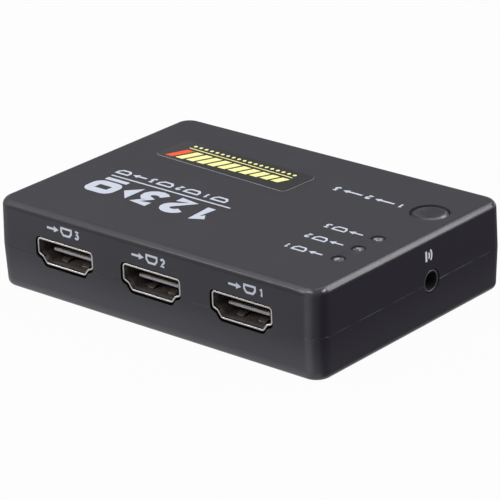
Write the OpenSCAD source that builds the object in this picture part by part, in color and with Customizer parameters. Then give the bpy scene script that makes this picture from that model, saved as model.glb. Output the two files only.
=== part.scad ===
// Three-input, one-output video switch box.
// Origin under the middle of the case, on the surface that the feet stand on.
// X runs along the input face, Y from the input face to the output face, Z up.

/* [Case] */
// Width of the case at the parting line, along the input face
case_w = 82.1; // [80:0.1:110]
// Depth of the case at the parting line, from input face to output face
case_d = 57.7; // [56:0.1:80]
// Height of the case without its feet
case_h = 18.45; // [17.5:0.05:24]
// Height of the parting line above the base of the case
seam_h = 8.9; // [8.2:0.1:10]
// Thickness of the side walls
wall_t = 2; // [1.6:0.1:2.6]
// Thickness of the roof
roof_t = 2; // [1.4:0.1:2.6]
// Thickness of the floor
floor_t = 2; // [1.4:0.1:2.4]
// Radius of the upright corners at the parting line
corner_r = 3.7; // [3.4:0.1:6]
// Radius of the edge round the roof
roof_edge_r = 1.6; // [0.8:0.1:2]
// Radius of the edge round the base
base_edge_r = 1.2; // [0.6:0.1:1.8]
// How far the upper walls lean in from the parting line to the roof
roof_draft = 0.22; // [0.04:0.02:0.5]
// How far the lower walls lean in from the parting line to the base
base_draft = 0.34; // [0.04:0.02:0.5]
// Bevel on both halves along the parting line
seam_bevel = 0.06; // [0.04:0.02:0.3]
// Height of the lip that stands on the lower half
lip_h = 1; // [0.6:0.1:1.4]
// Thickness of that lip
lip_t = 0.8; // [0.6:0.1:1]
// Clearance between the lip and the upper half
lip_gap = 0.15; // [0.1:0.05:0.3]

/* [Label] */
// Width of the sticker on the roof
label_w = 35.2; // [20:0.1:40]
// Depth of the sticker
label_d = 9.8; // [6:0.1:14]
// Thickness of the sticker
label_t = 0.15; // [0.1:0.05:0.4]
// Radius of the sticker's corners
label_r = 1.2; // [0.4:0.1:3]
// Middle of the sticker along X
label_x = -13.4; // [-18:0.1:-5]
// Middle of the sticker along Y
label_y = 11.9; // [0:0.05:16]
// Turn of the sticker, which is stuck on a little askew
label_turn = -2.2; // [-5:0.1:5]

/* [Circuit board] */
// Thickness of the board
board_t = 1.6; // [1:0.1:2]
// Height of the board's upper face above the base of the case
board_h = 6.6; // [6.2:0.1:7]
// Clearance between the board's edge and the walls
board_gap = 0.5; // [0.3:0.1:0.8]
// Clearance round each pin that goes through the board
pin_gap = 0.2; // [0.1:0.05:0.3]
// How far the pins stand out under the board
pin_out = 1.2; // [0.6:0.1:1.6]

/* [Video sockets] */
// Distance of the outer input sockets from the side faces
socket_in_x = 18.55; // [18:0.05:21]
// Place of the output socket along X
output_x = 0; // [-8:0.5:16]
// Inside width of a socket's mouth
socket_w = 14; // [13:0.1:15]
// Inside height of a socket's mouth
socket_h = 4.6; // [4.4:0.05:5]
// Height of the shoulders above the mouth's floor, at the mouth's sides
shoulder_h = 1.7; // [1.4:0.05:2]
// Width of each shoulder
shoulder_w = 1.15; // [0.9:0.05:1.3]
// How far each shoulder falls towards the middle
shoulder_fall = 0.45; // [0.2:0.05:0.6]
// Width of the slope under each shoulder
slope_w = 0.9; // [0.6:0.05:1.2]
// Inside radius of the mouth's upper corners
mouth_r = 0.45; // [0.4:0.05:1]
// Inside radius of the shoulders and the lower corners
shoulder_r = 0.4; // [0.2:0.05:0.6]
// Radius of the hollow corner beside each shoulder, at the edge of the case's cut-out
hollow_r = 0.04; // [0.02:0.01:0.1]
// Thickness of the shell's sheet metal
sheet_t = 0.35; // [0.25:0.05:0.4]
// Length of a socket's shell
socket_len = 11.6; // [10.5:0.1:13]
// Height of the mouth's floor above the board
socket_lift = 1.12; // [0.9:0.02:1.3]
// How far the rim stays behind the face of the case
rim_inset = 0.3; // [0.1:0.05:0.6]
// Gap between the shell and the edge of its cut-out
port_gap = 0.28; // [0.2:0.02:0.4]
// How much wider that gap is under the shell
port_slack = 0.25; // [0:0.05:0.4]
// Width of the tongue in the mouth
tongue_w = 10; // [9.8:0.1:10.6]
// Thickness of the tongue
tongue_t = 0.6; // [0.5:0.05:1]
// Height of the tongue's underside above the mouth's floor
tongue_z = 1.9; // [1.7:0.05:2.3]
// How far the tongue's end stays behind the rim
tongue_inset = 2.1; // [1.6:0.1:3]
// Depth from the rim to the wall at the back of the mouth
mouth_depth = 8.4; // [8:0.1:9]
// Clearance between the insert and the shell
insert_gap = 0.05; // [0.03:0.01:0.1]
// Length of the insert's block behind the shell
insert_tail = 1.2; // [0.8:0.1:2]
// Width of a contact
contact_w = 0.36; // [0.25:0.01:0.42]
// Thickness of a contact
contact_t = 0.12; // [0.1:0.01:0.2]
// Distance between neighbouring contacts in one row
contact_pitch = 1; // [0.95:0.01:1]
// Contacts in the upper row; the lower row has one fewer
contact_count = 10; // [6:1:10]
// Length of a contact's foot on the board
contact_foot = 0.9; // [0.6:0.1:1.2]
// Width of a spring finger
finger_w = 1.8; // [1.2:0.1:2.2]
// Distance of the spring fingers from the middle of the mouth
finger_x = 2.7; // [2:0.1:3.2]
// How far a spring finger bows into the mouth
finger_bow = 0.5; // [0.2:0.05:0.7]
// Slot round a spring finger
finger_slot = 0.25; // [0.15:0.05:0.35]
// Distance of a spring finger's tip behind the tongue's end
finger_tip = 0.4; // [0.3:0.1:0.8]
// Distance from a spring finger's tip to its crest
finger_crest = 1; // [0.8:0.1:1.4]
// Distance of a spring finger's root in front of the mouth's back wall
finger_root = 1; // [0.6:0.1:1.4]
// Width of a solder leg
leg_w = 1.4; // [1:0.1:1.8]
// Distance of the front legs behind the rim
leg_in_y = 4.6; // [4:0.1:6]

/* [Select button] */
// Distance of the button's axis from the right-hand face
button_in_x = 7.35; // [7:0.05:9]
// Distance of the button's axis from the jack's axis, along Y
button_jack_y = 9.25; // [8.5:0.05:10]
// Radius of the button's hole in the roof
button_hole_r = 4; // [3.4:0.05:4.2]
// Clearance between the button and its hole
button_gap = 0.28; // [0.2:0.02:0.4]
// Height of the button's rim above the roof
button_proud = 0; // [0:0.05:0.8]
// Depth of the dish in the button's top
button_dish = 0.35; // [0.1:0.05:0.7]
// Width of the bevel round the button's top
button_bevel_w = 0.7; // [0.2:0.05:0.9]
// Height of that bevel
button_bevel_h = 0.45; // [0.2:0.05:0.8]
// How far the button's flange reaches under the roof
flange_reach = 0.7; // [0.4:0.1:1]
// Thickness of the button's flange
flange_t = 1; // [0.7:0.1:1.4]
// Clearance between the flange and the roof
flange_gap = 0.1; // [0.05:0.05:0.2]
// Length of the stem under the flange
stem_len = 1.3; // [0.8:0.1:1.8]
// Radius of that stem
stem_r = 1.6; // [1.2:0.1:2]
// Thickness of the guide ring round the flange
guide_t = 0.9; // [0.6:0.1:1.1]
// Height of the guide ring
guide_h = 2.2; // [1.6:0.1:2.6]
// Travel of the button
button_travel = 0.3; // [0.2:0.05:0.4]

/* [Push switch] */
// Side of the push switch's square base
switch_w = 6; // [5.6:0.1:6.4]
// Height of the base
switch_h = 3.2; // [2.8:0.1:3.6]
// Thickness of the floor in the base
switch_floor = 0.8; // [0.6:0.1:1]
// Distance between the two legs on one side of the base
switch_leg_pitch = 4.5; // [4:0.1:5]
// Radius of the well in the base
well_r = 2.5; // [2.4:0.05:2.6]
// Thickness of the metal cover
cover_t = 0.3; // [0.2:0.05:0.4]
// Radius of the plunger
plunger_r = 1.7; // [1.4:0.05:1.8]
// Radius of the plunger's collar
collar_r = 2.2; // [2:0.05:2.3]
// Thickness of the collar
collar_t = 0.6; // [0.4:0.05:0.8]
// Running clearance round the plunger
plunger_gap = 0.2; // [0.1:0.05:0.25]
// Radius of the snap dome
dome_r = 2.1; // [1.8:0.05:2.3]
// Height of the snap dome when it is pressed in
dome_pressed_h = 0.25; // [0.2:0.05:0.35]
// Thickness of the snap dome
dome_t = 0.1; // [0.08:0.01:0.14]
// Clearance between the plunger and the dome
dome_gap = 0.02; // [0.01:0.01:0.05]

/* [Lamps] */
// Distance of the lamps from the right-hand face
lamp_in_x = 7.25; // [7:0.05:9]
// Distance of the nearest lamp from the jack's axis, along Y
lamp_jack_y = 6.94; // [6:0.02:8]
// Distance between neighbouring lamps
lamp_pitch = 5.98; // [5:0.02:6]
// Radius of a lamp
lamp_r = 1.4; // [1.2:0.05:1.5]
// Length of a lamp from its flange to its tip
lamp_len = 5; // [4.4:0.1:6]
// Thickness of a lamp's flange
lamp_flange_t = 0.9; // [0.6:0.1:1.2]
// How far the flange stands out round the lamp
lamp_flange_w = 0.35; // [0.2:0.05:0.5]
// Clearance between a lamp and its hole
lamp_gap = 0.1; // [0.06:0.02:0.2]
// Height of the shallow dome on a lamp's end
lamp_dome_h = 0.3; // [0.2:0.05:1]
// Depth of a lamp's tip under the roof's upper face
lamp_sink = 0.05; // [0:0.05:0.8]
// Distance between a lamp's two leads
lead_pitch = 2.54; // [2:0.02:2.6]
// Side of a lead
lead_w = 0.5; // [0.4:0.05:0.6]

/* [Remote jack] */
// Distance of the jack's axis from the middle of the right-hand face
jack_y = 5.15; // [4:0.05:6]
// Height of the jack's axis above the board
jack_axis_h = 2.55; // [2.55:0.05:3]
// Radius of the jack's bore
jack_bore_r = 1.8; // [1.3:0.05:1.85]
// Radius of the jack's bush
jack_bush_r = 2.3; // [2.2:0.05:2.7]
// Clearance round the bush
bush_gap = 0.1; // [0.1:0.05:0.3]
// How far the bush stays behind the face
bush_inset = 0.15; // [0.05:0.05:0.5]
// Length of the jack's block
jack_len = 11.5; // [10:0.5:12]
// Width of the jack's block
jack_w = 6.2; // [5.8:0.1:6.6]
// Thickness of the wall at the back end of the bore
jack_back = 0.8; // [0.6:0.1:1.2]
// Thickness of the jack's terminals
terminal_t = 0.3; // [0.2:0.05:0.4]
// Width of the terminals
terminal_w = 1.6; // [1.2:0.1:2]
// Clearance between a terminal's nose and the bore that it stands beside
nose_gap = 0.05; // [0.03:0.01:0.1]
// Bevel at the mouth of a bore
mouth_bevel = 0.2; // [0.1:0.05:0.3]

/* [Power inlet] */
// Distance of the power inlet from the left-hand face
inlet_in_x = 17.05; // [16:0.05:20]
// Height of the inlet's axis above the board
inlet_axis_h = 3.3; // [3.2:0.1:3.6]
// Radius of the inlet's bore
inlet_bore_r = 1.85; // [1.6:0.05:2.1]
// Radius of the inlet's bush
inlet_bush_r = 3; // [2.8:0.1:3.1]
// Radius of the centre pin
inlet_pin_r = 0.65; // [0.4:0.05:0.8]
// How far the pin's tip stays behind the bush's end
inlet_pin_in = 1; // [0.5:0.1:2]
// Clearance of the pin in the wall behind the bore
inlet_pin_gap = 0.03; // [0.02:0.01:0.05]
// Width of the inlet's block
inlet_w = 7; // [6.6:0.1:8]
// Length of the inlet's block
inlet_len = 9; // [8:0.5:10]
// Thickness of the wall at the back end of the inlet
inlet_back = 1.2; // [1:0.1:1.6]

/* [Parts on the board] */
// Side of the switch chip's package
switch_chip_w = 10; // [9:0.5:12]
// Thickness of the switch chip's package
switch_chip_t = 1.4; // [1:0.1:1.8]
// Leads on each side of the switch chip
switch_chip_pins = 11; // [8:1:11]
// Distance between the switch chip's leads
switch_chip_pitch = 0.8; // [0.65:0.05:0.8]
// Width of a lead of the switch chip
switch_chip_lead_w = 0.35; // [0.25:0.05:0.4]
// Clearance between the control chip's leads and the remote jack
control_chip_gap = 3.6; // [1:0.1:6]
// Place of the control chip along Y
control_chip_y = 4; // [0:0.5:6]
// Width of the control chip's package
control_chip_w = 3.9; // [3.5:0.1:5.3]
// Length of the control chip's package
control_chip_d = 9.9; // [9.6:0.1:10.5]
// Thickness of the control chip's package
control_chip_t = 1.5; // [1.2:0.1:2]
// Leads on each side of the control chip
control_chip_pins = 8; // [4:1:8]
// Distance between the control chip's leads
control_chip_pitch = 1.27; // [1:0.01:1.27]
// Width of a lead of the control chip
control_chip_lead_w = 0.42; // [0.35:0.01:0.5]
// Place of the regulator along Y
regulator_y = 8; // [4:0.5:9]
// Width of the regulator's package
regulator_w = 6.5; // [6:0.1:7]
// Depth of the regulator's package
regulator_d = 3.5; // [3:0.1:4]
// Thickness of the regulator's package
regulator_t = 1.6; // [1.4:0.1:1.8]
// Distance between the regulator's three leads
regulator_pitch = 2.3; // [2:0.05:2.5]
// Width of a lead of the regulator
regulator_lead_w = 0.7; // [0.6:0.05:0.9]
// Width of the regulator's cooling tab
regulator_tab_w = 3; // [2.6:0.1:3.4]
// Clearance between a package and the board
chip_lift = 0.1; // [0.05:0.05:0.2]
// Height of the leads where they leave a package
chip_lead_h = 0.7; // [0.5:0.05:0.9]
// Thickness of the leads
chip_lead_t = 0.15; // [0.1:0.01:0.2]
// How far the leads reach out from a package
chip_lead_reach = 1.2; // [1:0.1:1.6]
// Distance of the power capacitor from the output face
capacitor_in_y = 8.85; // [8:0.05:12]
// Radius of the power capacitor's can
capacitor_r = 2.4; // [2:0.1:2.5]
// Height of the power capacitor
capacitor_h = 5.4; // [5:0.1:6]
// Thickness of the plate under the can
capacitor_base_t = 0.8; // [0.6:0.1:1]
// How far that plate stands out round the can
capacitor_base_out = 0.1; // [0.05:0.05:0.3]
// Length of a small chip part
small_len = 1.6; // [1.4:0.1:2]
// Width of a small chip part
small_w = 0.8; // [0.6:0.05:1]
// Height of a small chip part
small_h = 0.6; // [0.4:0.05:0.8]
// Length of the metal cap on each end of it
small_cap = 0.35; // [0.25:0.05:0.45]
// Thickness of the metal cap
small_cap_t = 0.05; // [0.03:0.01:0.1]
// Distance of the rows of small parts from the middle of the board
small_row_y = 10; // [9:0.5:11]
// Distance between the small capacitors in their row
small_capacitor_pitch = 5.6; // [4:0.1:6]
// Distance between the small resistors in their row
small_resistor_pitch = 2.6; // [2:0.1:3]
// Distance of the lamps' resistors from the lamps, towards the right-hand face
lamp_resistor_x = 2.6; // [2.2:0.1:3.2]

/* [Screws and feet] */
// Radius of a screw's shank
screw_r = 1.1; // [0.9:0.05:1.25]
// Length of a screw's shank
screw_len = 9; // [8:0.5:10]
// Radius of a screw's head
head_r = 2.2; // [1.8:0.1:2.3]
// Height of a screw's head
head_h = 1.3; // [1:0.1:1.4]
// Depth of the screw heads' seats above the base
head_seat = 1.5; // [1.4:0.1:1.7]
// Clearance between a screw and what it passes through
screw_gap = 0.2; // [0.1:0.05:0.3]
// Clearance between a screw and its pilot hole
pilot_gap = 0.04; // [0.02:0.01:0.06]
// Radius of the screw pillars
pillar_r = 2.8; // [2.7:0.1:3.2]
// Clearance between a pillar and the walls
pillar_gap = 0.4; // [0.3:0.1:0.8]
// Radius of a foot
foot_r = 4; // [3:0.1:4.2]
// Thickness of a foot
foot_t = 1.2; // [0.8:0.1:2]
// Depth of the recess that a foot is stuck in
foot_sink = 0.4; // [0.2:0.1:0.6]
// Clearance round a foot in its recess
foot_gap = 0.2; // [0.1:0.05:0.3]
// Distance of the feet from the side faces
foot_in_x = 13.5; // [12.5:0.5:20]
// Distance of the feet from the input and output faces
foot_in_y = 8.5; // [7:0.5:14]

/* [Hidden] */
$fn = 48;

// Extra length of a cutter past the face that it cuts
past = 1;
// Steps in a rounded corner of an outline
arc_steps = 5;

// Heights in the part's frame
base_z = foot_t - foot_sink;
seam_z = base_z + seam_h;
roof_z = base_z + case_h;
ceiling_z = roof_z - roof_t;
board_z = base_z + board_h;
board_under_z = board_z - board_t;
pin_end_z = board_under_z - pin_out;

// Places in the part's frame
corner_x = case_w / 2 - corner_r;
corner_y = case_d / 2 - corner_r;
cavity_x = case_w / 2 - wall_t;
cavity_y = case_d / 2 - wall_t;
socket_pitch = case_w / 2 - socket_in_x;
screw_x = cavity_x - pillar_gap - pillar_r;
screw_y = cavity_y - pillar_gap - pillar_r;
button_x = case_w / 2 - button_in_x;
button_y = jack_y + button_jack_y;
lamp_x = case_w / 2 - lamp_in_x;
lamp_y = [for (i = [2, 1, 0]) jack_y - lamp_jack_y - i * lamp_pitch];
jack_z = board_z + jack_axis_h;
inlet_x = inlet_in_x - case_w / 2;
inlet_z = board_z + inlet_axis_h;
dome_h = dome_pressed_h + button_travel;

// Outlines

function unit(v) = v / norm(v);
function turned(v, a) = [v.x * cos(a) - v.y * sin(a), v.x * sin(a) + v.y * cos(a)];
// Outward normal of an edge of an outline that runs anticlockwise
function edge_normal(a, b) = turned(unit(b - a), -90);
// The corner b after both its edges have moved outward by grow
function grown_corner(a, b, c, grow) =
    let (p = edge_normal(a, b), q = edge_normal(b, c))
    b + grow * (p + q) / (1 + p * q);
// The arc of radius r that takes the place of the corner b
function corner_arc(a, b, c, r) =
    let (u = unit(a - b),
         v = unit(c - b),
         half = acos(u * v) / 2,
         middle = b + unit(u + v) * r / sin(half),
         first = b + u * r / tan(half) - middle,
         sweep = sign(cross(b - a, c - b)) * (180 - 2 * half))
    [for (i = [0:arc_steps]) middle + turned(first, sweep * i / arc_steps)];
// The outline with rounded corners, every edge moved outward by grow
function rounded(pts, radii, grow = 0) =
    let (n = len(pts),
         g = [for (i = [0:n - 1]) grown_corner(pts[(i + n - 1) % n], pts[i], pts[(i + 1) % n], grow)])
    [for (i = [0:n - 1])
        let (a = g[(i + n - 1) % n], b = g[i], c = g[(i + 1) % n], outer = sign(cross(b - a, c - b)))
        each corner_arc(a, b, c, radii[i] + outer * grow)];
function rectangle(w, d) = [[-w / 2, -d / 2], [w / 2, -d / 2], [w / 2, d / 2], [-w / 2, d / 2]];
function rounded_rectangle(w, d, r) = rounded(rectangle(w, d), [r, r, r, r]);
// The mouth of a video socket: wide above, with shoulders and slopes down to a floor that can lie deeper
function mouth(grow, deeper = 0) =
    let (wide = socket_w / 2,
         step = wide - shoulder_w,
         low = step - slope_w,
         side_z = shoulder_h - deeper,
         step_z = side_z - shoulder_fall,
         hollow = hollow_r + sheet_t + port_gap)
    rounded(
        [[-low, -deeper], [low, -deeper], [step, step_z], [wide, side_z],
         [wide, socket_h], [-wide, socket_h], [-wide, side_z], [-step, step_z]],
        [shoulder_r, shoulder_r, hollow, shoulder_r, mouth_r, mouth_r, shoulder_r, hollow],
        grow);
// The inside of the case, seen from above
function cavity(grow) =
    rounded(rectangle(2 * cavity_x, 2 * cavity_y), [for (i = [0:3]) corner_r - wall_t], grow);
// A gull-wing lead seen from its side
function gull_wing(h, reach, t) = [
    [0, h - t], [0.3 * reach, h - t], [0.43 * reach, 0], [reach, 0],
    [reach, t], [0.55 * reach, t], [0.4 * reach, h], [0, h]
];

// Frames

// Stands an outline of X and Z up and gives it a length along Y
module along_y(from, to) {
    translate([0, to, 0]) rotate([90, 0, 0]) linear_extrude(to - from) children();
}

// Stands an outline of Y and Z up and gives it a width along X, about x
module across_x(x, w) {
    translate([x - w / 2, 0, 0]) rotate([90, 0, 90]) linear_extrude(w) children();
}

// A socket's own frame: its rim is at y = 0, its mouth's floor at z = 0, and y runs into the case.
// The inputs are counted from the right-hand side.
module at_input(i) {
    translate([(2 - i) * socket_pitch, rim_inset - case_d / 2, board_z + socket_lift]) children();
}

module at_output() {
    translate([output_x, case_d / 2 - rim_inset, board_z + socket_lift]) rotate([0, 0, 180]) children();
}

module at_sockets() {
    for (i = [1:3]) at_input(i) children();
    at_output() children();
}

module at_corners(x, y) {
    for (sx = [-1, 1], sy = [-1, 1]) translate([sx * x, sy * y, 0]) children();
}

module at_switch() {
    translate([button_x, button_y, board_z]) children();
}

module at_jack() {
    translate([case_w / 2 - bush_inset, jack_y, jack_z]) children();
}

module at_inlet() {
    translate([inlet_x, case_d / 2 - bush_inset, inlet_z]) children();
}

// Case

// Section of a half's wall: x from a corner's axis, y from the parting line
module wall_section(h, draft, edge_r) {
    flat = corner_r - draft - edge_r;
    polygon([[0, 0], [corner_r - seam_bevel, 0], [corner_r, seam_bevel], [corner_r - draft, h - edge_r],
             [flat, h - edge_r], [flat, h], [0, h]]);
    translate([flat, h - edge_r]) intersection() {
        circle(edge_r);
        square(edge_r + past);
    }
}

// One half of the case as a solid block, standing on the parting line
module half_block(h, draft, edge_r) {
    translate([-corner_x, -corner_y, 0]) cube([2 * corner_x, 2 * corner_y, h]);
    for (side = [0, 1]) {
        mirror([side, 0, 0]) translate([corner_x, corner_y, 0]) rotate([90, 0, 0])
            linear_extrude(2 * corner_y) wall_section(h, draft, edge_r);
        mirror([0, side, 0]) translate([-corner_x, corner_y, 0]) rotate([90, 0, 90])
            linear_extrude(2 * corner_x) wall_section(h, draft, edge_r);
        for (end = [0, 1]) mirror([side, 0, 0]) mirror([0, end, 0]) translate([corner_x, corner_y, 0])
            rotate_extrude(angle = 90) wall_section(h, draft, edge_r);
    }
}

// Every cut-out for a socket or a jack, through the walls of both halves
module port_cutouts() {
    at_sockets()
        along_y(-rim_inset - past, wall_t + past) polygon(mouth(sheet_t + port_gap, port_slack));
    at_jack() translate([-wall_t - past, 0, 0]) rotate([0, 90, 0])
        cylinder(r = jack_bush_r + bush_gap, h = wall_t + 2 * past);
    at_inlet() translate([0, past, 0]) rotate([90, 0, 0])
        cylinder(r = inlet_bush_r + bush_gap, h = wall_t + 2 * past);
}

module top_shell() {
    pilot_z = base_z + head_seat + screw_len + past;
    color([0.2, 0.2, 0.21]) difference() {
        union() {
            difference() {
                translate([0, 0, seam_z]) half_block(case_h - seam_h, roof_draft, roof_edge_r);
                translate([0, 0, seam_z - past])
                    linear_extrude(ceiling_z - seam_z + past) polygon(cavity(0));
                translate([0, 0, seam_z - past])
                    linear_extrude(lip_h + lip_gap + past) polygon(cavity(lip_t + lip_gap));
            }
            at_corners(screw_x, screw_y) translate([0, 0, board_z])
                cylinder(r = pillar_r, h = ceiling_z - board_z + roof_t / 2);
            translate([button_x, button_y, ceiling_z - guide_h])
                cylinder(r = button_hole_r + flange_reach + button_gap + guide_t, h = guide_h + roof_t / 2);
        }
        port_cutouts();
        at_corners(screw_x, screw_y) translate([0, 0, board_z - past])
            cylinder(r = screw_r + pilot_gap, h = pilot_z - board_z + past);
        translate([button_x, button_y, ceiling_z - guide_h - past])
            cylinder(r = button_hole_r + flange_reach + button_gap, h = guide_h + past);
        translate([button_x, button_y, ceiling_z - past])
            cylinder(r = button_hole_r, h = roof_t + 2 * past);
        for (y = lamp_y) translate([lamp_x, y, ceiling_z - past])
            cylinder(r = lamp_r + lamp_gap, h = roof_t + 2 * past);
    }
}

module bottom_shell() {
    color([0.19, 0.19, 0.2]) difference() {
        union() {
            difference() {
                translate([0, 0, seam_z]) mirror([0, 0, 1]) half_block(seam_h, base_draft, base_edge_r);
                translate([0, 0, base_z + floor_t])
                    linear_extrude(seam_h - floor_t + past) polygon(cavity(0));
            }
            translate([0, 0, seam_z - lip_h]) linear_extrude(2 * lip_h) difference() {
                polygon(cavity(lip_t));
                polygon(cavity(0));
            }
            at_corners(screw_x, screw_y) translate([0, 0, base_z + floor_t / 2])
                cylinder(r = pillar_r, h = board_under_z - base_z - floor_t / 2);
        }
        port_cutouts();
        at_corners(screw_x, screw_y) {
            translate([0, 0, base_z - past])
                cylinder(r = screw_r + screw_gap, h = board_under_z - base_z + 2 * past);
            translate([0, 0, base_z - past]) cylinder(r = head_r + screw_gap, h = head_seat + past);
        }
        at_corners(case_w / 2 - foot_in_x, case_d / 2 - foot_in_y) translate([0, 0, base_z - past])
            cylinder(r = foot_r + foot_gap, h = foot_sink + past);
    }
}

module top_label() {
    color([0.05, 0.05, 0.05]) translate([label_x, label_y, roof_z]) rotate([0, 0, label_turn])
        linear_extrude(label_t) polygon(rounded_rectangle(label_w, label_d, label_r));
}

module rubber_feet() {
    bevel = foot_t / 4;
    color([0.1, 0.1, 0.1]) at_corners(case_w / 2 - foot_in_x, case_d / 2 - foot_in_y)
        rotate_extrude()
            polygon([[0, 0], [foot_r - bevel, 0], [foot_r, bevel], [foot_r, foot_t], [0, foot_t]]);
}

module case_screws() {
    slot_w = head_r / 4;
    slot_h = head_h / 2;
    slot_len = head_r;
    point_r = screw_r / 3;
    crown_r = head_r * 2 / 3;
    color([0.7, 0.7, 0.72]) at_corners(screw_x, screw_y) translate([0, 0, base_z + head_seat])
        difference() {
            rotate_extrude() polygon([
                [0, -head_h], [crown_r, -head_h], [head_r, -head_h / 2], [head_r, 0], [screw_r, 0],
                [screw_r, screw_len - screw_r], [point_r, screw_len], [0, screw_len]
            ]);
            for (turn = [0, 90]) rotate([0, 0, turn])
                translate([-slot_len / 2, -slot_w / 2, -head_h - past])
                    cube([slot_len, slot_w, slot_h + past]);
        }
}

// Circuit board

module circuit_board() {
    board_w = 2 * (cavity_x - board_gap);
    board_d = 2 * (cavity_y - board_gap);
    pin_r = lead_w / 2 * sqrt(2) + pin_gap;
    color([0.1, 0.35, 0.16]) difference() {
        translate([0, 0, board_under_z]) linear_extrude(board_t)
            polygon(rounded_rectangle(board_w, board_d, corner_r - wall_t));
        translate([0, 0, board_under_z - past]) {
            at_corners(screw_x, screw_y) cylinder(r = screw_r + screw_gap, h = board_t + 2 * past);
            for (y = lamp_y, side = [-1, 1]) translate([lamp_x, y + side * lead_pitch / 2, 0])
                cylinder(r = pin_r, h = board_t + 2 * past);
        }
        at_sockets() translate([0, 0, -socket_lift - board_t - past])
            linear_extrude(board_t + 2 * past) socket_legs_plan(pin_gap);
        at_switch() translate([0, 0, -board_t - past])
            linear_extrude(board_t + 2 * past) switch_legs_plan(pin_gap);
        at_jack() translate([0, 0, -jack_axis_h - board_t - past])
            linear_extrude(board_t + 2 * past) jack_terminals_plan(pin_gap);
        at_inlet() translate([0, 0, -inlet_axis_h - board_t - past])
            linear_extrude(board_t + 2 * past) inlet_terminals_plan(pin_gap);
    }
}

// Video sockets

// Where the four legs of a shell stand, seen from above
module socket_legs_plan(grow) {
    for (side = [-1, 1], y = [leg_in_y, socket_len - leg_w / 2])
        translate([side * (socket_w + sheet_t) / 2, y])
            square([sheet_t + 2 * grow, leg_w + 2 * grow], center = true);
}

// One spring finger, seen from its side: rooted behind, bowed into the mouth, with its tip turned back
module spring_finger(x) {
    root = mouth_depth - finger_root;
    held = root + sheet_t;
    tip = tongue_inset + finger_tip;
    crest = tip + finger_crest;
    tip_bow = finger_bow / 3;
    across_x(x, finger_w) polygon([
        [held, -sheet_t], [held, 0], [root, 0], [crest, finger_bow],
        [tip, tip_bow], [tip, tip_bow - sheet_t], [crest, finger_bow - sheet_t], [root, -sheet_t]
    ]);
}

// The window in the sheet that a spring finger is cut from
module finger_window(x) {
    root = mouth_depth - finger_root;
    end = tongue_inset + finger_tip - finger_slot;
    translate([x - finger_w / 2 - finger_slot, end, -sheet_t - past])
        cube([finger_w + 2 * finger_slot, root - end, sheet_t + 2 * past]);
}

module socket_shell() {
    leg_top = shoulder_h + shoulder_r + sheet_t;
    leg_end = -socket_lift - board_t - pin_out;
    color([0.8, 0.78, 0.74]) {
        difference() {
            along_y(0, socket_len) difference() {
                polygon(mouth(sheet_t));
                polygon(mouth(0));
            }
            for (x = [-finger_x, finger_x]) {
                finger_window(x);
                translate([0, 0, socket_h]) mirror([0, 0, 1]) finger_window(x);
            }
        }
        for (x = [-finger_x, finger_x]) {
            spring_finger(x);
            translate([0, 0, socket_h]) mirror([0, 0, 1]) spring_finger(x);
        }
        translate([0, 0, leg_end]) linear_extrude(leg_top - leg_end) socket_legs_plan(0);
    }
}

// One contact: along the tongue, out through the insert's back and down to its pad on the board
module contact(x, z) {
    back = socket_len + insert_tail;
    foot = back + contact_foot;
    across_x(x, contact_w) polygon([
        [tongue_inset + contact_w, z - contact_t / 2], [back, z - contact_t / 2], [back, -socket_lift],
        [foot, -socket_lift], [foot, contact_t - socket_lift], [back + contact_t, contact_t - socket_lift],
        [back + contact_t, z + contact_t / 2], [tongue_inset + contact_w, z + contact_t / 2]
    ]);
}

module socket_contacts() {
    color([0.85, 0.7, 0.4]) for (row = [0, 1]) {
        count = contact_count - row;
        for (i = [0:count - 1])
            contact((i - (count - 1) / 2) * contact_pitch, tongue_z + (1 - row) * tongue_t);
    }
}

module socket_insert() {
    bevel = tongue_t / 5;
    top = tongue_z + tongue_t;
    color([0.58, 0.57, 0.56]) difference() {
        union() {
            along_y(mouth_depth, socket_len) polygon(mouth(-insert_gap));
            translate([-socket_w / 2, socket_len, -socket_lift])
                cube([socket_w, insert_tail, socket_lift + socket_h - mouth_r]);
            across_x(0, tongue_w) polygon([
                [tongue_inset, tongue_z + bevel], [tongue_inset + bevel, tongue_z],
                [mouth_depth + past, tongue_z], [mouth_depth + past, top],
                [tongue_inset + bevel, top], [tongue_inset, top - bevel]
            ]);
        }
        socket_contacts();
    }
}

// Select button and the push switch under it

// Height of the button's stem end, which is also the plunger's tip, above the board
plunger_tip = ceiling_z - flange_gap - flange_t - stem_len - board_z;
// Height of the collar's upper face above the board
collar_z = switch_h - flange_gap;

module select_button() {
    r = button_hole_r - button_gap;
    flange_z = ceiling_z - flange_gap - flange_t;
    rim_z = roof_z + button_proud;
    dish_rim = r - button_bevel_w;
    dish = [for (i = [0:arc_steps]) let (x = dish_rim * (1 - i / arc_steps))
            [x, rim_z - button_dish * (1 - pow(x / dish_rim, 2))]];
    color([0.24, 0.24, 0.25]) translate([button_x, button_y, 0]) rotate_extrude() polygon(concat(
        [[0, flange_z - stem_len], [stem_r, flange_z - stem_len], [stem_r, flange_z],
         [button_hole_r + flange_reach, flange_z], [button_hole_r + flange_reach, flange_z + flange_t],
         [r, flange_z + flange_t], [r, rim_z - button_bevel_h]],
        dish));
}

module switch_plunger() {
    nub_r = plunger_r / 2;
    color([0.12, 0.12, 0.12]) at_switch() rotate_extrude() polygon([
        [0, switch_floor + dome_h + dome_gap], [nub_r, switch_floor + dome_h + dome_gap],
        [nub_r, collar_z - collar_t], [collar_r, collar_z - collar_t], [collar_r, collar_z],
        [plunger_r, collar_z], [plunger_r, plunger_tip], [0, plunger_tip]
    ]);
}

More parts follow.
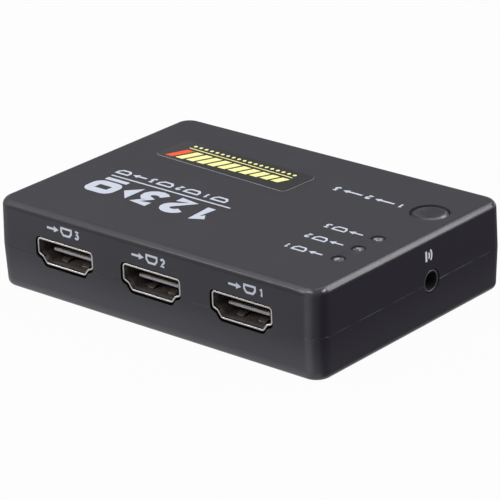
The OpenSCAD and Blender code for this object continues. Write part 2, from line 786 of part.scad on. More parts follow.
module switch_base() {
    color([0.1, 0.1, 0.1]) at_switch() difference() {
        translate([-switch_w / 2, -switch_w / 2, 0]) cube([switch_w, switch_w, switch_h]);
        translate([0, 0, switch_floor]) cylinder(r = well_r, h = switch_h);
    }
}

module switch_cover() {
    color([0.75, 0.75, 0.76]) at_switch() translate([0, 0, switch_h]) linear_extrude(cover_t)
        difference() {
            square(switch_w, center = true);
            circle(plunger_r + plunger_gap);
        }
}

// Height of the dome's upper face at a distance x from its middle
function dome_top(x) = switch_floor + dome_t + (dome_h - dome_t) * (1 - pow(x / dome_r, 2));

module switch_dome() {
    steps = [for (i = [0:arc_steps]) dome_r * i / arc_steps];
    color([0.8, 0.8, 0.82]) at_switch() rotate_extrude() polygon(concat(
        [for (x = steps) [x, dome_top(x) - dome_t]],
        [for (i = [0:arc_steps]) let (x = steps[arc_steps - i]) [x, dome_top(x)]]));
}

// Where the push switch's four legs stand, seen from above
module switch_legs_plan(grow) {
    for (sx = [-1, 1], sy = [-1, 1])
        translate([sx * (switch_w + terminal_t) / 2, sy * switch_leg_pitch / 2])
            square([terminal_t + 2 * grow, lead_w + 2 * grow], center = true);
}

module switch_legs() {
    color([0.75, 0.75, 0.76]) at_switch() translate([0, 0, pin_end_z - board_z])
        linear_extrude(board_z - pin_end_z + switch_h / 2) switch_legs_plan(0);
}

// Lamps

module lamp(i) {
    tip_z = roof_z - lamp_sink;
    low_z = tip_z - lamp_len;
    // The dome's outline takes over from the straight side a little under its shoulder
    neck_z = tip_z - 1.1 * lamp_dome_h;
    ball_r = (pow(lamp_r, 2) + pow(lamp_dome_h, 2)) / (2 * lamp_dome_h);
    flange_r = lamp_r + lamp_flange_w;
    color([0.85, 0.85, 0.82]) translate([lamp_x, lamp_y[i], 0]) rotate_extrude() {
        polygon([[0, low_z], [flange_r, low_z], [flange_r, low_z + lamp_flange_t],
                 [lamp_r, low_z + lamp_flange_t], [lamp_r, neck_z], [0, neck_z]]);
        intersection() {
            translate([0, tip_z - ball_r]) circle(ball_r);
            translate([0, neck_z]) square([lamp_r, tip_z - neck_z]);
        }
    }
}

module lamp_leads() {
    low_z = roof_z - lamp_sink - lamp_len;
    color([0.8, 0.8, 0.8]) for (y = lamp_y, side = [-1, 1])
        translate([lamp_x - lead_w / 2, y + side * lead_pitch / 2 - lead_w / 2, pin_end_z])
            cube([lead_w, lead_w, low_z - pin_end_z]);
}

// Remote jack

// Distance from the end of the bush to the jack's block
jack_nose = wall_t + board_gap - bush_inset;
// Distances along the bore of the two side terminals
jack_side_at = [jack_nose + jack_len / 4, jack_nose + jack_len * 2 / 3];

// Where the jack's three terminals stand, seen from above: two at the sides and one behind
module jack_terminals_plan(grow) {
    for (i = [0, 1]) translate([-jack_side_at[i], (2 * i - 1) * (jack_w + terminal_t) / 2])
        square([terminal_w + 2 * grow, terminal_t + 2 * grow], center = true);
    translate([-jack_nose - jack_len - terminal_t / 2, 0])
        square([terminal_t + 2 * grow, terminal_w + 2 * grow], center = true);
}

// A bore that runs down from its mouth at z = 0, with a bevel there
module bore(r, depth) {
    translate([0, 0, -depth]) cylinder(r = r, h = depth + past);
    translate([0, 0, -mouth_bevel]) cylinder(r1 = r, r2 = r + mouth_bevel, h = mouth_bevel);
}

// A terminal's nose, or with a clearance the window for it, from a bore at y = 0 out to a block's side
module nose(bore_r, reach, grow) {
    translate([-terminal_w / 2 - grow, bore_r + nose_gap - grow, -bore_r / 2 - grow])
        cube([terminal_w + 2 * grow, reach - bore_r - nose_gap + grow, bore_r + 2 * grow]);
}

module at_jack_noses() {
    for (i = [0, 1]) translate([-jack_side_at[i], 0, 0]) rotate([0, 0, (1 - i) * 180]) children();
}

module remote_jack_body() {
    depth = jack_nose + jack_len - jack_back;
    color([0.06, 0.06, 0.06]) at_jack() difference() {
        union() {
            rotate([0, -90, 0]) cylinder(r = jack_bush_r, h = jack_nose + past);
            translate([-jack_nose - jack_len, -jack_w / 2, -jack_axis_h])
                cube([jack_len, jack_w, jack_axis_h + jack_bush_r]);
        }
        rotate([0, 90, 0]) bore(jack_bore_r, depth);
        at_jack_noses() nose(jack_bore_r, jack_w / 2 + past, pin_gap);
    }
}

module remote_jack_contacts() {
    top = jack_bore_r / 2;
    low = pin_end_z - jack_z;
    color([0.8, 0.78, 0.7]) at_jack() {
        translate([0, 0, low]) linear_extrude(top - low) jack_terminals_plan(0);
        at_jack_noses() nose(jack_bore_r, jack_w / 2 + terminal_t / 2, 0);
    }
}

// Power inlet

// Distance from the end of the bush to the inlet's block
inlet_nose = wall_t + board_gap - bush_inset;

// Where the inlet's three terminals stand, seen from above: two at the sides and one behind
module inlet_terminals_plan(grow) {
    for (side = [-1, 1]) translate([side * (inlet_w + terminal_t) / 2, -inlet_nose - inlet_len / 2])
        square([terminal_t + 2 * grow, terminal_w + 2 * grow], center = true);
    translate([0, -inlet_nose - inlet_len - terminal_t / 2])
        square([terminal_w + 2 * grow, terminal_t + 2 * grow], center = true);
}

module at_inlet_noses() {
    for (side = [-90, 90]) translate([0, -inlet_nose - inlet_len / 2, 0]) rotate([0, 0, side]) children();
}

module power_inlet_body() {
    depth = inlet_nose + inlet_len - inlet_back;
    color([0.06, 0.06, 0.06]) at_inlet() difference() {
        union() {
            rotate([90, 0, 0]) cylinder(r = inlet_bush_r, h = inlet_nose + past);
            translate([-inlet_w / 2, -inlet_nose - inlet_len, -inlet_axis_h])
                cube([inlet_w, inlet_len, inlet_axis_h + inlet_bush_r]);
        }
        rotate([-90, 0, 0]) bore(inlet_bore_r, depth);
        rotate([90, 0, 0]) cylinder(r = inlet_pin_r + inlet_pin_gap, h = depth + inlet_back + past);
        at_inlet_noses() nose(inlet_bore_r, inlet_w / 2 + past, pin_gap);
    }
}

module power_inlet_pin() {
    pin_len = inlet_nose + inlet_len - inlet_pin_in;
    tip = inlet_pin_r / 3;
    color([0.85, 0.83, 0.78]) at_inlet() translate([0, -inlet_nose - inlet_len, 0]) rotate([-90, 0, 0])
        rotate_extrude() polygon([[0, 0], [inlet_pin_r, 0], [inlet_pin_r, pin_len - tip],
                                  [inlet_pin_r - tip, pin_len], [0, pin_len]]);
}

module power_inlet_contacts() {
    top = inlet_bore_r / 2;
    low = pin_end_z - inlet_z;
    color([0.8, 0.78, 0.7]) at_inlet() {
        translate([0, 0, low]) linear_extrude(top - low) inlet_terminals_plan(0);
        at_inlet_noses() nose(inlet_bore_r, inlet_w / 2 + terminal_t / 2, 0);
    }
}

// Parts on the board

module at_switch_chip() {
    translate([0, 0, board_z]) children();
}

module at_control_chip() {
    jack_end = case_w / 2 - bush_inset - jack_nose - jack_len - terminal_t;
    half = control_chip_w / 2 + chip_lead_reach;
    translate([jack_end - control_chip_gap - half, control_chip_y, board_z]) children();
}

module at_regulator() {
    translate([inlet_x, regulator_y, board_z]) children();
}

module package(w, d, t) {
    color([0.09, 0.09, 0.1]) translate([-w / 2, -d / 2, chip_lift]) cube([w, d, t]);
}

// A row of gull-wing leads along Y, starting at the distance from
module lead_row(from, count, pitch, width) {
    for (i = [0:count - 1]) translate([from, (i - (count - 1) / 2) * pitch + width / 2, 0])
        rotate([90, 0, 0]) linear_extrude(width)
            polygon(gull_wing(chip_lead_h, chip_lead_reach, chip_lead_t));
}

module switch_chip() {
    at_switch_chip() package(switch_chip_w, switch_chip_w, switch_chip_t);
}

module switch_chip_leads() {
    color([0.75, 0.75, 0.76]) at_switch_chip() for (turn = [0:90:270]) rotate([0, 0, turn])
        lead_row(switch_chip_w / 2, switch_chip_pins, switch_chip_pitch, switch_chip_lead_w);
}

module control_chip() {
    at_control_chip() package(control_chip_w, control_chip_d, control_chip_t);
}

module control_chip_leads() {
    color([0.75, 0.75, 0.76]) at_control_chip() for (side = [0, 1]) mirror([side, 0, 0])
        lead_row(control_chip_w / 2, control_chip_pins, control_chip_pitch, control_chip_lead_w);
}

module regulator() {
    at_regulator() package(regulator_w, regulator_d, regulator_t);
}

module regulator_leads() {
    color([0.75, 0.75, 0.76]) at_regulator() {
        rotate([0, 0, -90]) lead_row(regulator_d / 2, 3, regulator_pitch, regulator_lead_w);
        rotate([0, 0, 90]) lead_row(regulator_d / 2, 1, 0, regulator_tab_w);
    }
}

module power_capacitor() {
    base_w = 2 * (capacitor_r + capacitor_base_out);
    between = (inlet_x + inlet_w / 2 + output_x - socket_w / 2) / 2;
    color([0.75, 0.75, 0.76]) translate([between, case_d / 2 - capacitor_in_y, board_z]) {
        translate([-base_w / 2, -base_w / 2, 0]) cube([base_w, base_w, capacitor_base_t]);
        cylinder(r = capacitor_r, h = capacitor_h);
    }
}

// One small chip part with a metal cap at each end
module chip_part(x, y, turn) {
    cap_w = small_w + 2 * small_cap_t;
    translate([x, y, board_z]) rotate([0, 0, turn]) {
        translate([-small_len / 2, -small_w / 2, 0]) cube([small_len, small_w, small_h]);
        for (side = [-1, 1]) translate([side * small_len / 2 - small_cap / 2, -cap_w / 2, 0])
            cube([small_cap, cap_w, small_h + small_cap_t]);
    }
}

module chip_capacitors() {
    color([0.72, 0.6, 0.45]) {
        for (i = [-4:4]) chip_part(i * small_capacitor_pitch, -small_row_y, 90);
        for (side = [-1, 1]) chip_part(inlet_x + side * regulator_w, regulator_y, 90);
    }
}

module chip_resistors() {
    color([0.2, 0.2, 0.22]) {
        for (i = [-3:3]) chip_part(i * small_resistor_pitch, small_row_y, 90);
        for (y = lamp_y) chip_part(lamp_x + lamp_resistor_x, y, 90);
    }
}

top_shell();
bottom_shell();
top_label();
rubber_feet();
case_screws();
circuit_board();
at_input(1) socket_shell();  // input_1_shell
at_input(2) socket_shell();  // input_2_shell
at_input(3) socket_shell();  // input_3_shell
at_output() socket_shell();  // output_shell
at_input(1) socket_insert();  // input_1_insert
at_input(2) socket_insert();  // input_2_insert
at_input(3) socket_insert();  // input_3_insert
at_output() socket_insert();  // output_insert
at_input(1) socket_contacts();  // input_1_contacts
at_input(2) socket_contacts();  // input_2_contacts
at_input(3) socket_contacts();  // input_3_contacts
at_output() socket_contacts();  // output_contacts
select_button();
switch_plunger();
switch_base();
switch_cover();
switch_dome();
switch_legs();
lamp(0);  // lamp_1
lamp(1);  // lamp_2
lamp(2);  // lamp_3
lamp_leads();
remote_jack_body();
remote_jack_contacts();
power_inlet_body();
power_inlet_pin();
power_inlet_contacts();
switch_chip();
switch_chip_leads();
control_chip();
control_chip_leads();
regulator();
regulator_leads();
power_capacitor();
chip_capacitors();
chip_resistors();
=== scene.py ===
from collections import namedtuple
import math

import bmesh
import bpy
from mathutils import Matrix, Vector
from mathutils.geometry import tessellate_polygon


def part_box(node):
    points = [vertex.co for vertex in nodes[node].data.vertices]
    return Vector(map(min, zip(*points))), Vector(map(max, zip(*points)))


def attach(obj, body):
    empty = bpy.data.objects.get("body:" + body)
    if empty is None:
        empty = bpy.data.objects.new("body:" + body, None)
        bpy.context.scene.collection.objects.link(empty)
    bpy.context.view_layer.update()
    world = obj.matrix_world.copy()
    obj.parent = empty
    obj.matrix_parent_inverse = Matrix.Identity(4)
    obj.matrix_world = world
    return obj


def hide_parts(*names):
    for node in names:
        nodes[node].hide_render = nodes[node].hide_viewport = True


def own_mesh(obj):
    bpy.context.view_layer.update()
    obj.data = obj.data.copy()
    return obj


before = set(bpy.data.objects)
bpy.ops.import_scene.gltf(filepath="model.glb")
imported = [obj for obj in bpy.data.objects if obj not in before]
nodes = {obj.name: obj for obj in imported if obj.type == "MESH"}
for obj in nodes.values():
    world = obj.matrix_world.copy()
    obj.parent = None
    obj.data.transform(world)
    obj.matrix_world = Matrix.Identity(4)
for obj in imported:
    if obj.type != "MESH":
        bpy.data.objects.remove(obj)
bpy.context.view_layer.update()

# The box's sizes are in millimetres, and MM turns one into Blender's metres
MM = 0.001


def box_mm(node):
    """A frame node's lowest and highest corners."""
    return [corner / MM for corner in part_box(node)]


def middle_mm(node):
    """The middle of a frame node's box."""
    low, high = box_mm(node)
    return (low + high) / 2


# Places read from the frame
HALF_W, HALF_D, ROOF_Z = box_mm("top_shell")[1]
BOTTOM_LOW, BOTTOM_HIGH = box_mm("bottom_shell")
BASE_Z = BOTTOM_LOW.z
LIP_H = 1.0
SEAM_Z = BOTTOM_HIGH.z - LIP_H
RIM_Y = -box_mm("input_1_shell")[0].y
LABEL_LOW, LABEL_HIGH = box_mm("top_label")
LABEL_MIDDLE = middle_mm("top_label")
BUTTON_LOW, BUTTON_HIGH = box_mm("select_button")
BUTTON_MIDDLE = middle_mm("select_button")
DOME_LOW, DOME_HIGH = box_mm("switch_dome")


# Shader nodes

class Value:
    """A socket among a material's nodes. Arithmetic adds Math nodes, and node() adds any other."""

    def __init__(self, tree, socket=None):
        self.tree = tree
        self.socket = socket

    def node(self, kind, settings, inputs, output=0):
        """A new node's output, after its settings and then the values or links of its sockets."""
        made = self.tree.nodes.new("ShaderNode" + kind)
        for name, setting in settings.items():
            setattr(made, name, setting)
        for name, value in inputs.items():
            if isinstance(value, Value):
                self.tree.links.new(value.socket, made.inputs[name])
            else:
                made.inputs[name].default_value = value
        return Value(self.tree, made.outputs[output])

    def math(self, operation, first, second):
        return self.node("Math", {"operation": operation}, {0: first, 1: second})

    def __add__(self, other):
        return self.math("ADD", self, other)

    def __sub__(self, other):
        return self.math("SUBTRACT", self, other)

    def __rsub__(self, other):
        return self.math("SUBTRACT", other, self)

    def __mul__(self, other):
        return self.math("MULTIPLY", self, other)

    def __abs__(self):
        return self.math("ABSOLUTE", self, 0)

    __radd__ = __add__

    def either(self, other):
        return self.math("MAXIMUM", self, other)

    def rise(self, low, high):
        """0 below low and 1 above high, with a smooth step between."""
        steps = {"Value": self, "From Min": low, "From Max": high}
        return self.node("MapRange", {"interpolation_type": "SMOOTHSTEP"}, steps)

    def fall(self, low, high):
        """1 below low and 0 above high, with a smooth step between."""
        return 1 - self.rise(low, high)

    def mix(self, first, second):
        """The first colour where this value is 0 and the second where it is 1."""
        return self.node("Mix", {"data_type": "RGBA"}, {0: self, 6: first, 7: second}, 2)


def grey(level):
    return (level, level, level, 1)


def rgb(red, green, blue):
    return (red, green, blue, 1)


def stretched(place, x, y, z):
    """The same places, drawn out along an axis where its number is under 1."""
    return place.node("VectorMath", {"operation": "MULTIPLY"}, {0: place, 1: (x, y, z)})


def axes(place):
    """The place's own x, y and z in metres."""
    return [place.node("SeparateXYZ", {}, {0: place}, name) for name in "XYZ"]


def grain(place, size, detail=2.0):
    """Soft random lumps of about that size, from 0 to 1."""
    inputs = {"Vector": place, "Scale": 1 / (size * MM), "Detail": detail}
    return place.node("TexNoise", {}, inputs)


def relief(height, depth):
    """A surface normal for lumps of that depth."""
    return height.node("Bump", {}, {"Height": height, "Distance": depth * MM}, "Normal")


def finish(name, shade):
    """A material whose surface is what shade makes of the places on a piece."""
    made = bpy.data.materials.new(name)
    made.use_nodes = True
    tree = made.node_tree
    tree.nodes.clear()
    place = Value(tree).node("TexCoord", {}, {}, "Object")
    output = tree.nodes.new("ShaderNodeOutputMaterial")
    tree.links.new(shade(place).socket, output.inputs["Surface"])
    return made


def surface(place, **inputs):
    """A principled surface from its inputs' names, with _ for each space in one."""
    named = {name.replace("_", " "): value for name, value in inputs.items()}
    return place.node("BsdfPrincipled", {}, named)


# Finishes

def from_axis(place, x, y):
    """How far a place is from an upright axis."""
    ends = {0: stretched(place, 1, 1, 0), 1: (x, y, 0)}
    return place.node("VectorMath", {"operation": "DISTANCE"}, ends, "Value")


CasePlace = namedtuple("CasePlace", "x z height depth in_x in_y by_port_wall")


def on_case(place):
    """A place on the case in millimetres: over its base, under its roof and in from its walls."""
    x, y, z = (way * (1 / MM) for way in axes(place))
    in_y = HALF_D - abs(y)
    return CasePlace(x, z, z - BASE_Z, ROOF_Z - z, HALF_W - abs(x), in_y, in_y.fall(1.2, 2.4))


def rubbed(place, at):
    """How much handling has polished the case: the roof's edges, right-hand corners, base and seams."""
    right_half = at.x.rise(-10, 10)
    side_edge = at.depth.rise(-0.1, 0.5) * at.depth.fall(0.7, 1.25) * at.in_x.fall(2.4, 3.6)
    side_edge = side_edge * (1 - at.by_port_wall * (1 - right_half))
    broad = 1 + at.depth.fall(0.2, 0.7) * at.x.fall(-35, 20) * 3
    bright = 0.08 + at.x.rise(-25, 55) * 0.5
    port_edge = at.depth.rise(-0.15, 0.42) * at.depth.fall(0.7, 1) * at.by_port_wall * (broad * bright)
    edge_end = at.depth.rise(0.1, 0.5) * at.depth.fall(0.9, 1.25) * at.by_port_wall * at.x.rise(34, 38)
    corner = at.in_x.fall(2.8, 3.9) * at.in_x.rise(1.4, 2.6) * at.by_port_wall * right_half
    base_edge = at.height.fall(0.6, 1.4).either(at.height.fall(0.4, 2.4) * at.by_port_wall)
    seam = abs(at.z - SEAM_Z).fall(0.06, 0.12) * at.in_x.fall(1.2, 2.4)
    seam = seam * grain(place, 3, 1).rise(0.36, 0.62)
    edges = side_edge.either(port_edge).either(edge_end).either(base_edge)
    return edges.either(corner * 0.75).either(seam * 0.6)


def case_skin(at, shade):
    """Black, paler towards the base as painted light from the floor, and darkened on the sides, under
    the roof's edge and in the cut-outs as painted shade.
    """
    upper = shade.mix(rgb(0.0435, 0.0425, 0.0495), rgb(0.056, 0.055, 0.0635))
    # Painted light: the colour towards the base is paler, standing in for light from the floor.
    lower = shade.mix(rgb(0.079, 0.077, 0.0875), rgb(0.098, 0.0955, 0.108))
    skin = at.height.rise(-0.8, 11.2).mix(lower, upper)
    # Painted shade: the side walls are darkened towards near black.
    side = at.in_x.fall(0.5, 1.4)
    skin = (side * 0.61).mix(skin, rgb(0.007, 0.004, 0.013))
    # Painted shade: a dark band under the roof's edge along the port walls.
    painted_shade_under_edge = at.depth.rise(0.8, 1.1) * at.depth.fall(1.35, 1.75)
    painted_shade_under_edge = painted_shade_under_edge * at.by_port_wall * at.in_x.rise(2, 4)
    skin = (painted_shade_under_edge * 0.45).mix(skin, grey(0.02))
    # Painted shade: the walls of the port cut-outs are near black.
    painted_cut_out_shade = at.height.rise(6, 6.2) * at.depth.rise(5, 5.2)
    painted_cut_out_shade = painted_cut_out_shade * at.in_x.rise(3.2, 4) * at.in_y.rise(0.13, 0.25)
    return painted_cut_out_shade.mix(skin, grey(0.004))


def case_plastic(place):
    """Satin black plastic with a fine eroded grain, polished by handling along its edges."""
    at = on_case(place)
    fine = grain(place, 0.14, 3)
    cloud = grain(place, 14, 2)
    return surface(
        place,
        Base_Color=case_skin(at, fine * 0.5 + cloud * 0.5),
        Roughness=0.46 + fine * 0.12,
        Specular_IOR_Level=0.05,
        Coat_Weight=rubbed(place, at) * (0.8 + grain(place, 2.2, 3) * 0.3),
        Coat_Roughness=0.22,
        Coat_IOR=1.6,
        Normal=relief(fine, 0.012),
    )


# The button's polish begins between these radii
POLISH_LOW_R = 2.9
POLISH_HIGH_R = 3.1


def button_plastic(place):
    """The case's plastic from a smoother mould, polished by fingers along its edge."""
    fine = grain(place, 0.1, 2)
    touched = grain(place, 1.6, 3)
    out = from_axis(place, BUTTON_MIDDLE.x * MM, BUTTON_MIDDLE.y * MM)
    right = axes(place)[0].rise(BUTTON_MIDDLE.x * MM, (BUTTON_MIDDLE.x + 2) * MM)
    return surface(
        place,
        Base_Color=touched.mix(rgb(0.039, 0.038, 0.044), rgb(0.048, 0.047, 0.054)),
        Roughness=0.34 + touched * 0.1,
        Specular_IOR_Level=0.2,
        Coat_Weight=out.rise(POLISH_LOW_R * MM, POLISH_HIGH_R * MM) * right,
        Coat_Roughness=0.34,
        Coat_IOR=1.75,
        Normal=relief(fine, 0.006),
    )


# The sticker's film is paler to the left of these
PALER_LOW_X = -31
PALER_HIGH_X = -17


def label_film(place):
    """Dark satin film, not quite flat, paler towards one end, with hairline scratches."""
    wave = grain(place, 5, 1)
    hairs = grain(stretched(place, 0.06, 1, 1), 0.12, 2).rise(0.66, 0.74)
    paler_left = axes(place)[0].fall(PALER_LOW_X * MM, PALER_HIGH_X * MM)
    film = paler_left.mix(rgb(0.039, 0.038, 0.040), rgb(0.055, 0.054, 0.059))
    return surface(
        place,
        Base_Color=(hairs * 0.4).mix(film, grey(0.08)),
        Roughness=0.45 + hairs * 0.2,
        Specular_IOR_Level=0.05,
        Normal=relief(wave, 0.03),
    )


def lamp_resin(place):
    """Milky resin with bright and dull specks in its middle, darker towards its rim as painted shade
    from its hole.
    """
    out = from_axis(place.node("TexCoord", {}, {}, "Generated"), 0.5, 0.5)
    speck = grain(place, 0.5, 1).rise(0.46, 0.6)
    # Painted shade: the body and its specks darken towards the rim, where the hole shades it.
    body = out.rise(0.16, 0.34).mix(rgb(0.090, 0.090, 0.092), rgb(0.035, 0.035, 0.038))
    return surface(
        place,
        Base_Color=(speck * out.fall(0.2, 0.32) * 0.85).mix(body, rgb(0.38, 0.38, 0.39)),
        Roughness=0.4 + speck * 0.25,
        Specular_IOR_Level=0.3,
        Normal=relief(speck, 0.02),
    )


def inside(place, start, end):
    """0 at a socket's mouth and 1 inside it, between two depths behind its rim."""
    return (RIM_Y * MM - abs(axes(place)[1])).rise(start * MM, end * MM)


def plated(colour, dull, roughness, along, deep=None):
    """Plated metal with drawn lines, dull patches and small pits, darkened and less metallic deep
    inside a socket as painted shade.
    """
    def shade(place):
        lines = grain(stretched(place, *along), 0.05, 2)
        patch = grain(place, 1.7, 3).rise(0.35, 0.75)
        pits = grain(place, 0.12, 1).rise(0.7, 0.8)
        plating = (patch * 0.6 + pits * 0.4).mix(rgb(*colour), rgb(*dull))
        metal = 1 - pits * 0.2
        if deep:
            # Painted shade: deep inside a socket the plating turns dark and less metallic.
            painted_shade = inside(place, 0.3, 1.6)
            plating = painted_shade.mix(plating, rgb(*deep))
            metal = metal - painted_shade * 0.5
        return surface(
            place,
            Base_Color=plating,
            Metallic=metal,
            Roughness=roughness + lines * 0.12 + patch * 0.1,
            Normal=relief(lines, 0.003),
        )
    return shade


def moulded(dark, light, roughness, specular, size=0.2, depth=0.01):
    """Moulded plastic, resin or rubber with a grain of that size."""
    def shade(place):
        fine = grain(place, size, 3)
        cloud = grain(place, 12 * size, 2)
        return surface(
            place,
            Base_Color=(fine * 0.4 + cloud * 0.6).mix(rgb(*dark), rgb(*light)),
            Roughness=roughness + (fine - 0.5) * 0.2,
            Specular_IOR_Level=specular,
            Normal=relief(fine, depth),
        )
    return shade


RIB_PITCH = 0.5
# A wave texture repeats after this length at a scale of 1
WAVE_PERIOD = 2 * math.pi / 20
RIB_SCALE = WAVE_PERIOD / (RIB_PITCH * MM)


def tongue_plastic(place):
    """Grey moulded plastic, pale and ribbed at the tongue's end, darkened deep in the socket as painted
    shade.
    """
    fine = grain(place, 0.2, 3)
    ribs = place.node("TexWave", {"bands_direction": "X"}, {"Vector": place, "Scale": RIB_SCALE})
    pale = (ribs * 0.7 + fine * 0.3).mix(rgb(0.16, 0.155, 0.165), rgb(0.46, 0.45, 0.48))
    return surface(
        place,
        # Painted shade: the tongue turns dark deep in the socket.
        Base_Color=inside(place, 2.2, 2.9).mix(pale, rgb(0.05, 0.045, 0.045)),
        Roughness=0.45 + fine * 0.15,
        Specular_IOR_Level=0.4,
        Normal=relief(fine, 0.01),
    )


def board_laminate(place):
    """Green solder mask with the copper tracks showing through it."""
    tracks = place.node(
        "TexVoronoi",
        {"feature": "DISTANCE_TO_EDGE", "distance": "EUCLIDEAN"},
        {"Vector": place, "Scale": 1 / (2.6 * MM), "Randomness": 0.6},
    ).rise(0.06, 0.1)
    weave = grain(place, 0.3, 2)
    mask = weave.mix(rgb(0.012, 0.075, 0.026), rgb(0.016, 0.095, 0.033))
    return surface(
        place,
        Base_Color=tracks.mix(rgb(0.045, 0.19, 0.060), mask),
        Roughness=0.3 + weave * 0.12,
        Normal=relief(tracks * -1 + weave * 0.2, 0.03),
    )


def ink(colour, worn):
    """Printed ink, thin in places."""
    def shade(place):
        thin = grain(place, 0.22, 3).rise(0.5, 0.8)
        return surface(
            place,
            Base_Color=(thin * 0.5).mix(rgb(*colour), rgb(*worn)),
            Roughness=0.55 + thin * 0.1,
            Specular_IOR_Level=0.1,
        )
    return shade


ALONG_Y = (1, 0.05, 1)
ALONG_Z = (1, 1, 0.05)
ROUND_Z = (0.3, 0.3, 1)
FINISHES = {
    "case_black": case_plastic,
    "button_black": button_plastic,
    "label_gloss": label_film,
    "lamp_milky": lamp_resin,
    # The last colour of socket_metal and contact_gold is painted shade for deep inside a socket.
    "socket_metal": plated((0.59, 0.56, 0.55), (0.43, 0.41, 0.40), 0.2, ALONG_Y, (0.13, 0.107, 0.098)),
    "socket_plastic": tongue_plastic,
    "contact_gold": plated((0.62, 0.47, 0.24), (0.44, 0.32, 0.17), 0.22, ALONG_Y, (0.22, 0.16, 0.09)),
    "tinned_steel": plated((0.72, 0.72, 0.73), (0.52, 0.52, 0.53), 0.28, ALONG_Z),
    "screw_steel": plated((0.62, 0.62, 0.64), (0.42, 0.42, 0.43), 0.3, ROUND_Z),
    "board_green": board_laminate,
    "chip_black": moulded((0.020, 0.020, 0.022), (0.034, 0.034, 0.036), 0.62, 0.4, 0.08, 0.006),
    "jack_black": moulded((0.026, 0.026, 0.029), (0.038, 0.038, 0.042), 0.34, 0.5, 0.3, 0.004),
    "can_aluminium": plated((0.78, 0.78, 0.79), (0.60, 0.60, 0.61), 0.24, ALONG_Z),
    "ceramic_tan": moulded((0.44, 0.33, 0.20), (0.56, 0.43, 0.28), 0.55, 0.4, 0.1, 0.006),
    "resistor_black": moulded((0.020, 0.020, 0.024), (0.036, 0.036, 0.040), 0.3, 0.5, 0.1, 0.004),
    "foot_rubber": moulded((0.018, 0.018, 0.018), (0.036, 0.036, 0.035), 0.85, 0.2, 0.25, 0.02),
}
finishes = {slot: finish(slot + "_finish", shade) for slot, shade in FINISHES.items()}
white_ink = finish("white_ink", ink((0.52, 0.555, 0.635), (0.40, 0.43, 0.49)))
# Painted light: a paler copy of the white ink, for the sign on the dimly lit right-hand wall.
painted_light_ink = finish("painted_light_ink", ink((0.80, 0.79, 0.85), (0.70, 0.69, 0.75)))
yellow_ink = finish("yellow_ink", ink((0.86, 0.83, 0.35), (0.78, 0.74, 0.29)))
orange_ink = finish("orange_ink", ink((0.77, 0.115, 0.04), (0.60, 0.085, 0.03)))
label_paper = finish("label_paper", moulded((0.30, 0.30, 0.30), (0.38, 0.38, 0.37), 0.6, 0.3))

WELD_GAP = 0.002
SHARP_EDGE = math.radians(50)
DEFAULT_EDGE_R = 0.03
EDGE_R = {
    "top_shell": 0.04,
    "bottom_shell": 0.04,
    "remote_jack_body": 0.2,
    "power_inlet_body": 0.2,
    "case_screws": 0.06,
    "input_1_shell": 0.06,
    "input_2_shell": 0.06,
    "input_3_shell": 0.06,
    "output_shell": 0.06,
}


def dress(node):
    """Gives a frame node the finish of its slot and softens its sharp edges a little."""
    solid = nodes[node]
    for slot in solid.material_slots:
        slot.material = finishes[slot.material.name]
    weld = solid.modifiers.new("one_skin", "WELD")
    weld.merge_threshold = WELD_GAP * MM
    edge = solid.modifiers.new("soft_edges", "BEVEL")
    edge.width = EDGE_R.get(node, DEFAULT_EDGE_R) * MM
    edge.segments = 2
    edge.limit_method = "ANGLE"
    edge.angle_limit = SHARP_EDGE
    edge.use_clamp_overlap = False
    shading = solid.modifiers.new("even_shading", "WEIGHTED_NORMAL")
    shading.weight = 100


# Meshes

def piece(name, mesh, material, body):
    """A new piece from a bmesh, riding on a body."""
    bmesh.ops.recalc_face_normals(mesh, faces=mesh.faces)
    data = bpy.data.meshes.new(name)
    mesh.to_mesh(data)
    mesh.free()
    data.materials.append(material)
    made = bpy.data.objects.new(name, data)
    bpy.context.scene.collection.objects.link(made)
    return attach(made, body)


def add_slab(mesh, loops, low, high, place):
    """A closed flat solid between two heights, from an outline and the holes in it."""
    corners = [corner for loop in loops for corner in loop]
    under = [mesh.verts.new(place(u, v, low)) for u, v in corners]
    over = [mesh.verts.new(place(u, v, high)) for u, v in corners]
    for a, b, c in tessellate_polygon([[corner.to_3d() for corner in loop] for loop in loops]):
        mesh.faces.new((over[a], over[b], over[c]))
        mesh.faces.new((under[c], under[b], under[a]))
    first = 0
    for loop in loops:
        for i in range(len(loop)):
            a = first + i
            b = first + (i + 1) % len(loop)
            mesh.faces.new((under[a], under[b], over[b], over[a]))
        first += len(loop)


LATHE_SIDES = 96
SHARP_TURN = math.radians(40)


def lathe(name, profile, middle, material, body):
    """A round piece about an upright axis, from pairs of radius and height that begin and end on it."""
    mesh = bmesh.new()
    rings = []
    for radius, height in profile:
        count = LATHE_SIDES if radius > 0 else 1
        turns = [2 * math.pi * i / count for i in range(count)]
        spots = [Vector((radius * math.cos(t), radius * math.sin(t), height)) for t in turns]
        rings.append([mesh.verts.new((middle + spot) * MM) for spot in spots])
    for low, high in zip(rings, rings[1:]):
        for i in range(LATHE_SIDES):
            j = (i + 1) % LATHE_SIDES
            corners = [low[i % len(low)], low[j % len(low)], high[j % len(high)], high[i % len(high)]]
            mesh.faces.new(dict.fromkeys(corners))
    made = piece(name, mesh, material, body)
    made.data.shade_smooth()
    made.data.set_sharp_from_angle(angle=SHARP_TURN)
    return made


# Flat outlines, in millimetres

def arc(middle, radius, start, end, steps=8):
    """Points on an arc, from one angle to another in degrees."""
    turns = [math.radians(start + (end - start) * i / steps) for i in range(steps + 1)]
    return [Vector(middle) + radius * Vector((math.cos(t), math.sin(t))) for t in turns]


